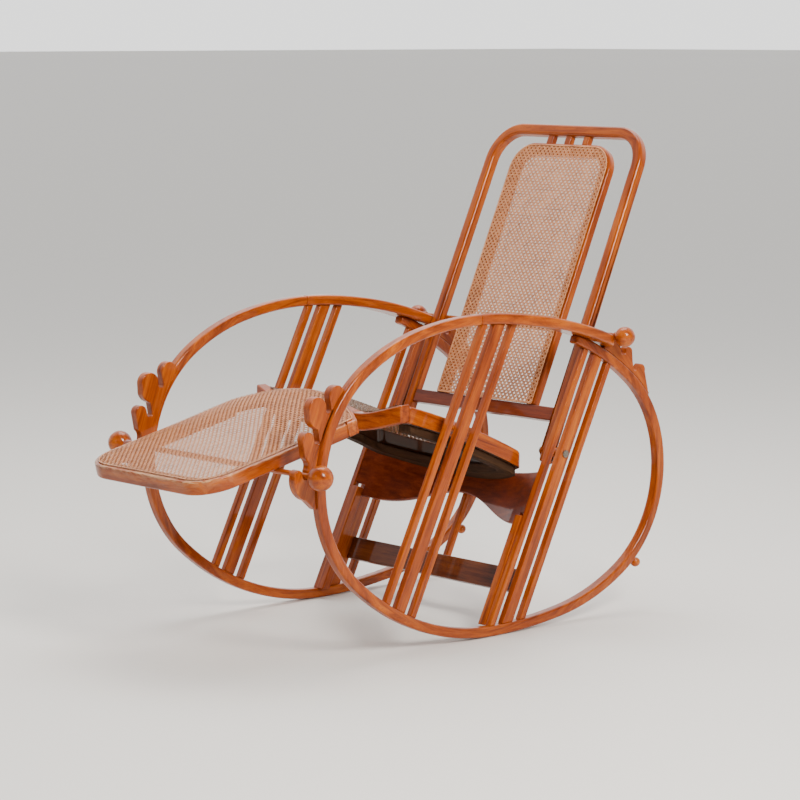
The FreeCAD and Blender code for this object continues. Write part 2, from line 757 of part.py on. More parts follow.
def make_footrest_cane():
    """A flat sheet that rises to meet the arched rear rail."""
    inset = size("foot_rail") - 4
    half = size("foot_half_width") - inset
    thick = size("cane_thickness")
    stations = [(-size("foot_length") - 5, 0.0), (-300, 0.0), (-200, 0.25), (-120, 0.7), (-20, 1.0)]
    sections = []
    for y, share in stations:
        crown = share * FOOT_CROWN
        high = Part.Arc(Vector(-half, y, 0), Vector(0, y, crown + 0.01), Vector(half, y, 0))
        low = Part.Arc(Vector(-half, y, -thick), Vector(0, y, crown + 0.01 - thick), Vector(half, y, -thick))
        ends = [Part.makeLine(Vector(s * half, y, 0), Vector(s * half, y, -thick)) for s in (-1, 1)]
        sections.append(Part.Wire(Part.__sortEdges__([high.toShape(), ends[0], low.toShape(), ends[1]])))
    loft = Part.makeLoft(sections, True, False)
    front = rear_rail_face(-28.0)
    opening = foot_outline(size("foot_rail"), 50)
    block = Part.Face(Part.Wire(Part.__sortEdges__([edge.toShape() for edge in opening])))
    block = block.extrude(Vector(0, 0, 200))
    block.translate(Vector(0, 0, -100))
    behind = path(front[0], (front[1], front[2]), (300, front[2][1]), (300, 100), (-300, 100), (-300, front[0][1]),
                  front[0])
    rear_block = Part.Face(Part.Wire(Part.__sortEdges__([edge.toShape() for edge in behind])))
    rear_block = rear_block.extrude(Vector(0, 0, 200))
    rear_block.translate(Vector(0, 0, -100))
    cane = doc.addObject("Part::Feature", "footrest_cane")
    cane.Shape = loft.common(block).cut(rear_block)
    return keep(foot_place(cane), "footrest_cane")


make_footrest_frame()
rear_rail = make_footrest_rear_rail()
keep(boolean("Cut", "footrest_rear_rail", rear_rail, foot_leaf), "footrest_rear_rail")
make_footrest_cane()

# ---------------------------------------------------------------- back, drawn upright about its pivot


def back_place(item):
    """Leans an upright piece back about the pivot, a little behind the pivot's axis."""
    pivot = Placement(Vector(0, PIVOT_Y + size("origin_shift"), PIVOT_HEIGHT), Rotation(X_AXIS, -size("back_tilt")))
    item.Placement = pivot * Placement(Vector(0, size("back_shift"), 0), Rotation())
    doc.recompute()
    return item


def arch(half, low, top, corner, splay=0.0):
    """An upright arch: sides splayed outward at the bottom, rounded top corners, closed across the bottom."""
    cut = 0.293 * corner
    foot = half + splay
    return path((foot, low), (half, top - corner), ((half - cut, top - cut), (half - corner, top)),
                (corner - half, top), ((cut - half, top - cut), (-half, top - corner)), (-foot, low), (foot, low))


def make_back_hoop():
    hoop = body_named("back_hoop_body")
    half = size("back_half_width")
    face = size("hoop_face")
    splay = size("back_splay")
    top = size("back_height")
    pad(hoop, "XZ_Plane", arch(half, -26, top, 90, splay), "hoop_depth")
    pocket(hoop, "XZ_Plane", arch(half - face, -60, top - face, 90 - face, splay * (1 + 34 / top)))
    return back_place(hoop)


hoop = make_back_hoop()
stile = size("back_half_width") + size("back_splay") - size("hoop_face") / 2
bores = [cylinder_along_x(f"pivot_bore_{sign}", f"pivot_radius + {RUNNING_GAP}", sign * stile - 20, sign * stile + 20,
                          PIVOT_Y, PIVOT_HEIGHT) for sign in (-1, 1)]
back_hoop = keep(boolean("Cut", "back_hoop", hoop, join("pivot_bores", bores)), "back_hoop")

bottom_rail = body_named("back_bottom_rail_bar")
rail_half = size("back_half_width") - size("hoop_face") / 2
rail_low = size("bottom_rail_low")
rail_high = rail_low + size("bottom_rail_height")
pad(bottom_rail, "XZ_Plane", rectangle(-rail_half, rail_low, rail_half, rail_high), "panel_depth")
keep(boolean("Cut", "back_bottom_rail", back_place(bottom_rail), back_hoop), "back_bottom_rail")

panel = body_named("back_panel_frame")
panel_half = size("panel_half_width")
pad(panel, "XZ_Plane", arch(panel_half, rail_high, size("panel_top"), 62), "panel_depth")
panel_inner = panel_half - size("panel_rail")
pocket(panel, "XZ_Plane", arch(panel_inner, rail_high - 40, size("panel_top") - size("panel_rail"), 34))
keep(back_place(panel), "back_panel_frame")

back_pegs = []
for number, x in enumerate((-56.0, 0.0, 56.0)):
    peg = box(f"back_peg_{number}", "18", "14", "back_height - hoop_face - panel_top")
    back_place(peg)
    peg.Placement = peg.Placement * Placement(Vector(x - 9, -7, size("panel_top")), Rotation())
    back_pegs.append(peg)
group("back_pegs", back_pegs)

back_cane = body_named("back_cane")
pad(back_cane, "XZ_Plane", arch(panel_half - 12, rail_high + 1, size("panel_top") - 12, 50), "cane_thickness")
back_place(back_cane)
front_shift = -(size("panel_depth") + size("cane_thickness")) / 2
back_cane.Placement = back_cane.Placement * Placement(Vector(0, front_shift, 0), Rotation())
keep(back_cane, "back_cane")

# ---------------------------------------------------------------- pivots and seat fixings


STILE_FACE = size("back_half_width") + size("back_splay")
SLAT_OUTER = size("ring_spacing") / 2 + size("slat_thickness") / 2


def bolt(name, sign):
    inner = stile - size("hoop_face") / 2 - 6
    shank = cylinder_along_x(f"{name}_shank", "pivot_radius", min(sign * inner, sign * SLAT_OUTER),
                             max(sign * inner, sign * SLAT_OUTER), PIVOT_Y, PIVOT_HEIGHT)
    head_start = sign * (SLAT_OUTER + 1.5)
    head = cylinder_along_x(f"{name}_head", "8", min(head_start - 1.5, head_start + 1.5),
                            max(head_start - 1.5, head_start + 1.5), PIVOT_Y, PIVOT_HEIGHT)
    nut_start = sign * (inner + 2.5)
    nut = cylinder_along_x(f"{name}_nut", "9", nut_start - 2.5, nut_start + 2.5, PIVOT_Y, PIVOT_HEIGHT)
    return join(name, [shank, head, nut])


bolts = [bolt("pivot_bolt_left", -1), bolt("pivot_bolt_right", 1)]
group("pivot_bolts", bolts)


def ring_spacer(name, sign, y, z, radius, hole, near, far):
    low, high = sorted((sign * near, sign * far))
    outer = cylinder_along_x(f"{name}_outer", radius, low, high, y, z)
    inner = cylinder_along_x(f"{name}_hole", hole, low - 1, high + 1, y, z)
    return boolean("Cut", name, outer, inner)


spacers = [ring_spacer(f"pivot_spacer_{sign}", sign, PIVOT_Y, PIVOT_HEIGHT, "11", "pivot_radius",
                       STILE_FACE + REST_GAP, SLAT_FACE) for sign in (-1, 1)]
group("pivot_spacers", spacers)

SEAT_BOLT_Y = -92.0
SEAT_BOLT_Z = seat_height(SEAT_BOLT_Y) - size("seat_rail_height") / 2
seat_spacers = [ring_spacer(f"seat_spacer_{sign}", sign, SEAT_BOLT_Y, SEAT_BOLT_Z, "13", "3",
                            size("seat_half_width"), SLAT_FACE) for sign in (-1, 1)]
group("seat_spacers", seat_spacers)


def through_screw(name, sign, y, z, near, far):
    low, high = sorted((sign * near, sign * far))
    shank = cylinder_along_x(f"{name}_shank", "3", low, high, y, z)
    low, high = sorted((sign * near, sign * (near - 3)))
    head = cylinder_along_x(f"{name}_head", "6", low, high, y, z)
    return join(name, [shank, head])


SEAT_INNER = size("seat_half_width") - size("seat_rail")
screws = [through_screw(f"seat_screw_{sign}", sign, SEAT_BOLT_Y, SEAT_BOLT_Z, SEAT_INNER, SLAT_FACE + 10)
          for sign in (-1, 1)]
group("seat_screws", screws)

# ---------------------------------------------------------------- rods and balls


def make_rod(name, centre):
    rod = cylinder_along_x(name, "rod_radius", -size("rod_half_length"), size("rod_half_length"), *centre)
    return keep(rod, name)


def make_balls(label, rod, radius, centre):
    balls = []
    for sign in (-1, 1):
        ball = doc.addObject("Part::Sphere", f"{label}_{sign}")
        ball.setExpression("Radius", cell(radius))
        reach = sign * (size("rod_half_length") + 9)
        ball.Placement = Placement(Vector(reach, centre[0] + size("origin_shift"), centre[1]), Rotation())
        doc.recompute()
        balls.append(boolean("Cut", f"{label}_bored_{sign}", ball, rod))
    return group(label, balls)


rear_rod = make_rod("rear_rod", FIRST_NOTCH)
make_balls("rear_rod_balls", rear_rod, "rear_ball_radius", FIRST_NOTCH)
front_rod = make_rod("front_rod", FRONT_NOTCHES[2])
make_balls("front_rod_balls", front_rod, "front_ball_radius", FRONT_NOTCHES[2])

# ---------------------------------------------------------------- checks and export

doc.recompute()
for item in doc.Objects:
    if "Invalid" in item.State or "Error" in item.State:
        raise RuntimeError(f"{item.Label} failed: {item.State}")
for item in parts:
    shape = item.Shape
    if shape.isNull() or not shape.isValid() or not shape.Solids:
        raise RuntimeError(f"{item.Label} has no valid solid")
for item in parts:
    item.Shape.exportStep(f"parts/{item.Label}.step")
print(len(parts), "sub-parts written")
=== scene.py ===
import json
import math

import bmesh
import bpy
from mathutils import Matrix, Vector


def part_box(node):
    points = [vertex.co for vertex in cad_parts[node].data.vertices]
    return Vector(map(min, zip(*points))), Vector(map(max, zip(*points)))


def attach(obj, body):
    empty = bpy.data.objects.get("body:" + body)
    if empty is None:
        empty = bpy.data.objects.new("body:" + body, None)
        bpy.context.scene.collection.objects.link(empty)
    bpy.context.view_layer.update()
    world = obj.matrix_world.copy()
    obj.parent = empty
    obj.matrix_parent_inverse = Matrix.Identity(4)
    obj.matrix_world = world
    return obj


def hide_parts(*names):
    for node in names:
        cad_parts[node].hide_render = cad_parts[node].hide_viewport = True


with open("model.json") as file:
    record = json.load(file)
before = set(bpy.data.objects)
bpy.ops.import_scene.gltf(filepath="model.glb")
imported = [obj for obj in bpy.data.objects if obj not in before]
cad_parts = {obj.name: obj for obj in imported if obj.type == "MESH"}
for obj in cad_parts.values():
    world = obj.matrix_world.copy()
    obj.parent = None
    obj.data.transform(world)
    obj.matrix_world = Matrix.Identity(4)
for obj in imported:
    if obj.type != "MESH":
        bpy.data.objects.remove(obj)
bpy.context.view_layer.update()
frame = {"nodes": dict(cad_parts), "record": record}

# Blender works in metres. Lengths of the chair are typed in millimetres and multiplied by MM.
MM = 0.001
X_AXIS = Vector((1, 0, 0))
FLOOR_CONTACT_Y = 0.0876
BODY_OF = {node: body for body, nodes in frame["record"]["behaviour"]["bodies"].items() for node in nodes}

SLAT_LEAN = math.radians(26.0)
BACK_TILT = math.radians(24.3)
FOOT_SLOPE = math.radians(13.4)
BEVEL_ANGLE = math.radians(30)
SHARP_ANGLE = math.radians(40)


def place_of(y, z):
    """A point on the middle plane; y counts from the floor contact, both in millimetres."""
    return Vector((0, y * MM + FLOOR_CONTACT_Y, z * MM))


# ------------------------------------------------------------ camera, floor and light

# The camera's place is in metres, its angles in degrees and its lens in millimetres.
CAMERA_PLACE = (4.533, -3.9674, 1.257)
CAMERA_DOWN = 7.36
CAMERA_TURN = 48.25
LENS = 128.25


def add_camera():
    """A long lens, well to the front and right of the chair and looking slightly down on it."""
    data = bpy.data.cameras.new("camera")
    camera = bpy.data.objects.new("camera", data)
    bpy.context.collection.objects.link(camera)
    camera.location = CAMERA_PLACE
    camera.rotation_euler = (math.radians(90 - CAMERA_DOWN), 0, math.radians(CAMERA_TURN))
    data.sensor_width = 36.0
    data.lens = LENS
    data.clip_end = 400
    bpy.context.scene.camera = camera


def add_light(name, place, target, size, power, colour):
    """A soft rectangular lamp at place, aimed at target."""
    data = bpy.data.lights.new(name, "AREA")
    data.shape = "RECTANGLE"
    data.size, data.size_y = size
    data.energy = power
    data.color = colour
    lamp = bpy.data.objects.new(name, data)
    bpy.context.collection.objects.link(lamp)
    lamp.location = place
    aim = Vector(target) - Vector(place)
    lamp.rotation_euler = aim.to_track_quat("-Z", "Y").to_euler()


def add_floor():
    """A wide, pale, slightly uneven floor."""
    bpy.ops.mesh.primitive_plane_add(size=300)
    floor = bpy.context.object
    floor.name = "floor"
    material, nodes, links, shader = new_material("pale_floor")
    noise = add_node(nodes, "ShaderNodeTexNoise", Scale=1.3, Detail=4.0)
    ramp = colour_ramp(nodes, [(0.3, (0.74, 0.71, 0.67)), (0.7, (0.79, 0.765, 0.73))])
    links.new(noise.outputs["Fac"], ramp.inputs["Fac"])
    links.new(ramp.outputs["Color"], shader.inputs["Base Color"])
    shader.inputs["Roughness"].default_value = 0.62
    floor.data.materials.append(material)


def set_world():
    """A soft studio: bright beyond the chair and dark on the camera's side of it."""
    world = bpy.data.worlds.new("studio")
    bpy.context.scene.world = world
    world.use_nodes = True
    nodes, links = world.node_tree.nodes, world.node_tree.links
    coords = nodes.new("ShaderNodeTexCoord")
    facing = nodes.new("ShaderNodeVectorMath")
    facing.operation = "DOT_PRODUCT"
    facing.inputs[1].default_value = (-0.74, 0.66, 0.10)
    links.new(coords.outputs["Generated"], facing.inputs[0])
    ramp = colour_ramp(nodes, [(0.0, (0.08, 0.077, 0.074)), (0.45, (1.0, 1.0, 0.99))])
    links.new(facing.outputs["Value"], ramp.inputs["Fac"])
    background = nodes["Background"]
    links.new(ramp.outputs["Color"], background.inputs["Color"])
    background.inputs["Strength"].default_value = 1.8


# ------------------------------------------------------------ material helpers

def new_material(name):
    """A node material, with its nodes, links and shader."""
    material = bpy.data.materials.new(name)
    material.use_nodes = True
    nodes = material.node_tree.nodes
    return material, nodes, material.node_tree.links, nodes["Principled BSDF"]


def add_node(nodes, kind, **values):
    """A node with some of its inputs set; an underscore in a name stands for a space."""
    node = nodes.new(kind)
    for key, value in values.items():
        node.inputs[key.replace("_", " ")].default_value = value
    return node


def colour_ramp(nodes, stops):
    """A ramp through (position, colour) stops."""
    ramp = nodes.new("ShaderNodeValToRGB")
    elements = ramp.color_ramp.elements
    while len(elements) < len(stops):
        elements.new(0.5)
    for element, (place, colour) in zip(elements, stops):
        element.position = place
        element.color = (*colour, 1)
    return ramp


def mix_colour(nodes, links, factor, first, second, kind="MIX"):
    """Mixes two colours; factor, first and second are each a number or colour, or a socket."""
    mix = nodes.new("ShaderNodeMix")
    mix.data_type = "RGBA"
    mix.blend_type = kind
    if isinstance(factor, float):
        mix.inputs[0].default_value = factor
    else:
        links.new(factor, mix.inputs[0])
    for socket, value in ((mix.inputs[6], first), (mix.inputs[7], second)):
        if isinstance(value, tuple):
            socket.default_value = (*value, 1)
        else:
            links.new(value, socket)
    return mix.outputs[2]


def stretched_noise(nodes, links, source, scale, detail):
    """Noise in the grain's own coordinates, scaled along, across and through it."""
    mapping = nodes.new("ShaderNodeMapping")
    mapping.inputs["Scale"].default_value = scale
    links.new(source, mapping.inputs["Vector"])
    noise = add_node(nodes, "ShaderNodeTexNoise", Scale=1.0, Detail=detail, Roughness=0.6,
                     Distortion=0.3)
    links.new(mapping.outputs["Vector"], noise.inputs["Vector"])
    return noise.outputs["Fac"]


def attribute(nodes, name, output):
    """A value stored on the mesh by paint() or by the weave."""
    node = nodes.new("ShaderNodeAttribute")
    node.attribute_name = name
    return node.outputs[output]


def add_bump(nodes, links, shader, height, strength, distance):
    """Lets a pattern raise and lower the surface a little."""
    bump = nodes.new("ShaderNodeBump")
    bump.inputs["Strength"].default_value = strength
    bump.inputs["Distance"].default_value = distance
    links.new(height, bump.inputs["Height"])
    links.new(bump.outputs["Normal"], shader.inputs["Normal"])


# Painted shade: the near-black brown that the seat frame's downward and inward faces are mixed towards.
PAINTED_SHADE_COLOUR = (0.050, 0.018, 0.008)
WORN_WOOD = (0.80, 0.52, 0.27)


def wood(name, light, mid, dark, coat=0.5, roughness=0.36):
    """Wood, bare or varnished: bands and pores along the grain, darker patches, worn parts and painted shade
    on marked faces.
    """
    material, nodes, links, shader = new_material(name)
    grain = attribute(nodes, "grain", "Vector")
    bands = stretched_noise(nodes, links, grain, (5, 95, 95), 5.0)
    ramp = colour_ramp(nodes, [(0.26, dark), (0.50, mid), (0.74, light)])
    links.new(bands, ramp.inputs["Fac"])
    pores = stretched_noise(nodes, links, grain, (45, 900, 900), 2.0)
    pore_ramp = colour_ramp(nodes, [(0.34, (0.50, 0.42, 0.36)), (0.50, (1.0, 1.0, 1.0))])
    links.new(pores, pore_ramp.inputs["Fac"])
    colour = mix_colour(nodes, links, 0.55, ramp.outputs["Color"], pore_ramp.outputs["Color"], "MULTIPLY")
    patches = stretched_noise(nodes, links, grain, (4, 11, 11), 3.0)
    patch_ramp = colour_ramp(nodes, [(0.36, (0.66, 0.50, 0.42)), (0.60, (1.0, 1.0, 1.0))])
    links.new(patches, patch_ramp.inputs["Fac"])
    colour = mix_colour(nodes, links, 0.8, colour, patch_ramp.outputs["Color"], "MULTIPLY")
    scratch = stretched_noise(nodes, links, grain, (40, 160, 160), 4.0)
    amount = nodes.new("ShaderNodeMath")
    amount.operation = "MULTIPLY"
    links.new(attribute(nodes, "wear", "Fac"), amount.inputs[0])
    scratch_ramp = colour_ramp(nodes, [(0.38, (0, 0, 0)), (0.62, (1, 1, 1))])
    links.new(scratch, scratch_ramp.inputs["Fac"])
    links.new(scratch_ramp.outputs["Color"], amount.inputs[1])
    colour = mix_colour(nodes, links, amount.outputs[0], colour, WORN_WOOD)
    # Painted shade: faces marked by the per-face mask from paint() are mixed towards a near-black brown.
    colour = mix_colour(nodes, links, attribute(nodes, "painted_shade", "Fac"), colour, PAINTED_SHADE_COLOUR)
    links.new(colour, shader.inputs["Base Color"])
    rough = nodes.new("ShaderNodeMapRange")
    rough.inputs["To Min"].default_value = roughness - 0.07
    rough.inputs["To Max"].default_value = roughness + 0.12
    links.new(patches, rough.inputs["Value"])
    links.new(rough.outputs["Result"], shader.inputs["Roughness"])
    shader.inputs["Coat Weight"].default_value = coat
    shader.inputs["Specular IOR Level"].default_value = 0.1
    shader.inputs["Coat Roughness"].default_value = 0.05
    add_bump(nodes, links, shader, pores, strength=0.18, distance=0.0006)
    return material


def cane_material(name, light, mid, dark):
    """Split cane: silky strands with fine fibres along them and an uneven tone."""
    material, nodes, links, shader = new_material(name)
    grain = attribute(nodes, "grain", "Vector")
    tone = stretched_noise(nodes, links, grain, (14, 60, 60), 3.0)
    ramp = colour_ramp(nodes, [(0.28, dark), (0.48, mid), (0.70, light)])
    links.new(tone, ramp.inputs["Fac"])
    fibre = stretched_noise(nodes, links, grain, (120, 2600, 2600), 2.0)
    fibre_ramp = colour_ramp(nodes, [(0.30, (0.62, 0.52, 0.42)), (0.55, (1.0, 1.0, 1.0))])
    links.new(fibre, fibre_ramp.inputs["Fac"])
    colour = mix_colour(nodes, links, 0.6, ramp.outputs["Color"], fibre_ramp.outputs["Color"], "MULTIPLY")
    links.new(colour, shader.inputs["Base Color"])
    shader.inputs["Roughness"].default_value = 0.42
    shader.inputs["Coat Weight"].default_value = 0.12
    shader.inputs["Coat Roughness"].default_value = 0.25
    add_bump(nodes, links, shader, fibre, strength=0.25, distance=0.0003)
    return material


def steel(name, colour, roughness):
    """Old steel with fine dark specks."""
    material, nodes, links, shader = new_material(name)
    coords = nodes.new("ShaderNodeTexCoord")
    noise = add_node(nodes, "ShaderNodeTexNoise", Scale=420.0, Detail=3.0)
    links.new(coords.outputs["Object"], noise.inputs["Vector"])
    ramp = colour_ramp(nodes, [(0.35, tuple(0.55 * c for c in colour)), (0.65, colour)])
    links.new(noise.outputs["Fac"], ramp.inputs["Fac"])
    links.new(ramp.outputs["Color"], shader.inputs["Base Color"])
    shader.inputs["Metallic"].default_value = 0.9
    shader.inputs["Roughness"].default_value = roughness
    return material


# ------------------------------------------------------------ grain: along, across and through each piece

# A piece's seed shifts its pattern by these steps, in metres, so that no two pieces match.
SHIFT_ALONG = 1.7
SHIFT_ACROSS = 0.31


def straight_grain(direction, seed):
    """Grain that runs one way."""
    along = Vector(direction).normalized()
    side = X_AXIS if abs(along.x) < 0.9 else Vector((0, 0, 1))
    across = along.cross(side).normalized()
    through = along.cross(across)
    return lambda p: (p.dot(along) + seed * SHIFT_ALONG, p.dot(across) + seed * SHIFT_ACROSS, p.dot(through))


def path_grain(points, seed):
    """Grain that follows a bent piece, given the corners of its centre line."""
    points = [Vector(p) for p in points]
    starts = [0.0]
    for first, second in zip(points, points[1:]):
        starts.append(starts[-1] + (second - first).length)

    def grain(p):
        nearest, along, away = math.inf, 0.0, None
        for i in range(len(points) - 1):
            run = points[i + 1] - points[i]
            share = max(0.0, min(1.0, (p - points[i]).dot(run) / run.length_squared))
            gap = p - (points[i] + run * share)
            if gap.length < nearest:
                nearest, along, away = gap.length, starts[i] + run.length * share, gap
        return (along + seed * SHIFT_ALONG, away.y + away.z + seed * SHIFT_ACROSS, away.x)
    return grain


RING_MIDDLE = place_of(-20, 350)
RING_RADIUS = 0.42
RING_JOINT = math.radians(60)


def ring_grain(seed):
    """Grain that runs round a rocker ring; its pattern starts over at RING_JOINT, at the upper rear."""
    def grain(p):
        angle = math.atan2(p.z - RING_MIDDLE.z, p.y - RING_MIDDLE.y) - RING_JOINT
        reach = math.hypot(p.z - RING_MIDDLE.z, p.y - RING_MIDDLE.y)
        return ((angle % math.tau) * RING_RADIUS + seed * SHIFT_ALONG, reach, p.x)
    return grain


def paint(mesh, grain, wear=None, painted_shade=None):
    """Stores each point's place in the grain, each point's wear and each face's painted shade, for the
    materials.
    """
    places = [vertex.co.copy() for vertex in mesh.vertices]
    mesh.attributes.new("grain", "FLOAT_VECTOR", "POINT")
    mesh.attributes["grain"].data.foreach_set("vector", [value for p in places for value in grain(p)])
    mesh.attributes.new("wear", "FLOAT", "POINT")
    mesh.attributes["wear"].data.foreach_set("value", [wear(p) if wear else 0.0 for p in places])
    # Painted shade: a per-face mask, 1 where the piece is darkened as if in shadow.
    mesh.attributes.new("painted_shade", "FLOAT", "FACE")
    shade_values = [painted_shade(face) if painted_shade else 0.0 for face in mesh.polygons]
    mesh.attributes["painted_shade"].data.foreach_set("value", shade_values)


# ------------------------------------------------------------ pieces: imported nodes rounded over, or turned

def finish_piece(piece, body, material):
    """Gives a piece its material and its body."""
    piece.data.materials.clear()
    piece.data.materials.append(material)
    bpy.context.collection.objects.link(piece)
    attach(piece, body)


def soften(node, material, width, grain, segments=3, wear=None, painted_shade=None):
    """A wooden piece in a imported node's shape, with every hard edge rounded over."""
    mesh = frame["nodes"][node].data.copy()
    mesh.name = f"{node}_rounded"
    form = bmesh.new()
    form.from_mesh(mesh)
    bmesh.ops.remove_doubles(form, verts=form.verts, dist=1e-5)
    bmesh.ops.dissolve_limit(form, angle_limit=math.radians(0.5), verts=form.verts, edges=form.edges)
    hard = [edge for edge in form.edges if edge.is_manifold and edge.calc_face_angle() > BEVEL_ANGLE]
    bmesh.ops.bevel(form, geom=hard, offset=width * MM, segments=segments, profile=0.5, affect="EDGES",
                    clamp_overlap=False)
    bmesh.ops.recalc_face_normals(form, faces=form.faces)
    for face in form.faces:
        face.smooth = True
    for edge in form.edges:
        edge.smooth = edge.is_manifold and edge.calc_face_angle() < SHARP_ANGLE
    form.to_mesh(mesh)
    form.free()
    if "custom_normal" in mesh.attributes:
        mesh.attributes.remove(mesh.attributes["custom_normal"])
    paint(mesh, grain, wear, painted_shade)
    piece = bpy.data.objects.new(f"{node}_wood", mesh)
    weighted = piece.modifiers.new("even_shading", "WEIGHTED_NORMAL")
    weighted.keep_sharp = True
    finish_piece(piece, BODY_OF[node], material)
    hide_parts(node)


def mesh_piece(name, vertices, faces):
    """A smooth-shaded object from points and faces."""
    mesh = bpy.data.meshes.new(name)
    mesh.from_pydata([tuple(v) for v in vertices], [], faces)
    mesh.update()
    for face in mesh.polygons:
        face.use_smooth = True
    return bpy.data.objects.new(name, mesh)


def lathe(profile, place, axis, steps=40):
    """Points and faces of a turned form: profile gives (distance along the axis, radius)."""
    axis = Vector(axis).normalized()
    side = axis.orthogonal().normalized()
    other = axis.cross(side)
    vertices = []
    faces = []
    for along, radius in profile:
        for i in range(steps):
            angle = math.tau * i / steps
            spoke = side * math.cos(angle) + other * math.sin(angle)
            vertices.append(Vector(place) + axis * along + spoke * max(radius, 1e-5))
    rows = len(profile)
    for row in range(rows - 1):
        for i in range(steps):
            j = (i + 1) % steps
            faces.append((row * steps + i, row * steps + j, (row + 1) * steps + j, (row + 1) * steps + i))
    faces.append(tuple(range(steps - 1, -1, -1)))
    faces.append(tuple((rows - 1) * steps + i for i in range(steps)))
    return vertices, faces


def turned_piece(name, profile, place, axis, body, seed):
    """A turned beech piece; its profile is in millimetres, with place as its zero."""
    vertices, faces = lathe([(a * MM, r * MM) for a, r in profile], place, axis)
    piece = mesh_piece(name, vertices, faces)
    paint(piece.data, straight_grain(axis, seed))
    finish_piece(piece, body, BEECH)
    return piece


BALL_STEPS = 25
NECK_STEPS = 3
SCORED_STEP = 12
SCORE_DEPTH = 0.35


def ball_profile(radius, neck):
    """A turned knob: a neck with a small bead, then a ball with a fine scored line round its middle."""
    profile = [(-radius - 9, neck), (-radius - 6, neck + 2.2)]
    profile += [(-radius - 3, neck + 2.6), (-radius - 1, neck + 1.2)]
    for i in range(NECK_STEPS, BALL_STEPS):
        angle = math.pi * i / BALL_STEPS
        score = SCORE_DEPTH if i == SCORED_STEP else 0.0
        reach = radius * math.sin(angle) - score
        profile.append((-radius * math.cos(angle), reach))
    profile.append((radius, 0.4))
    return profile


# ------------------------------------------------------------ woven cane

# Straight strands run both ways, half a PITCH apart, over and under each other by CROSS_RISE. Diagonals
# run both ways through every second crossing, DIAGONAL_RISE above or below the middle of the weave.
# The binder has a stitch at every PITCH. Sizes are in millimetres.
PITCH = 12.7
STRAND_WIDTH = 2.2
STRAND_DEPTH = 0.5
CROSS_RISE = 0.85
DIAGONAL_RISE = 0.28
BINDER_WIDTH = 3.2
BINDER_HEIGHT = 1.2
STITCH_WIDTH = 1.9
STITCH_RISE = 0.7
STITCH_DIP = 0.6
# Each strand takes its pattern from a different place, by these steps in metres.
STRAND_SHIFT_ALONG = 0.37
STRAND_SHIFT_ACROSS = 0.11
STRAND_GRAIN_HALF = 0.0012


